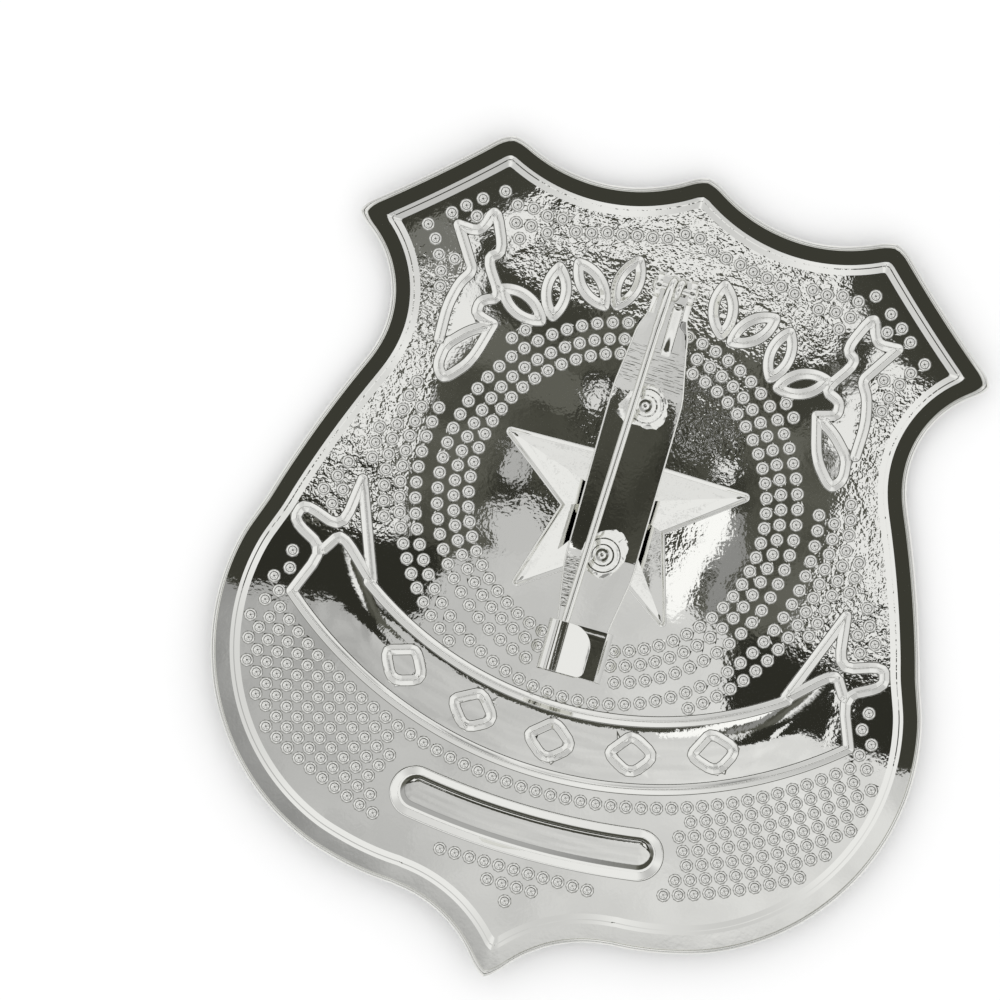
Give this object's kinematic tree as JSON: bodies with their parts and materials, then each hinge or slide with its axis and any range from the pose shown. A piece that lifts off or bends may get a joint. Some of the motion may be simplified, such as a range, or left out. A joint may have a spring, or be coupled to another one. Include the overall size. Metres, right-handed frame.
{
  "type": "police shield badge with brooch pin",
  "caption": "Stamped, plated sheet-metal shield badge with a star, ribbon and dotted field, lying on its face, with a riveted brooch bar, rolled catch and hinged needle on its back.",
  "frame": {"origin": "centre of the badge's outline seen from behind, at the height of its lowest point, so that it stands on z = 0 lying on its face", "axes": "+Z out of the badge's back, +Y to the badge's top, +X to the right as seen from behind"},
  "size_m": [0.066, 0.076, 0.0055],
  "materials": {
    "plated_sheet": "bright nickel plating over stamped steel sheet, faintly rippled",
    "plated_bar": "bright nickel plating over flat strip",
    "spun_rivet": "bright, with the rings of the spinning tool",
    "needle_wire": "bright drawn wire"
  },
  "bodies": {
    "badge": {"shield": "plated_sheet", "pin_bar": "plated_bar", "rivet_upper": "spun_rivet", "rivet_lower": "spun_rivet", "hinge_rivet": "spun_rivet"},
    "needle": {"needle": "needle_wire"}
  },
  "joints": [
    {"name": "needle_hinge", "type": "hinge", "parent": "badge", "child": "needle", "pos_m": [0, 0.02731, 0.00385], "axis": [-1, 0, 0], "range_deg": [0, 90]}
  ]
}
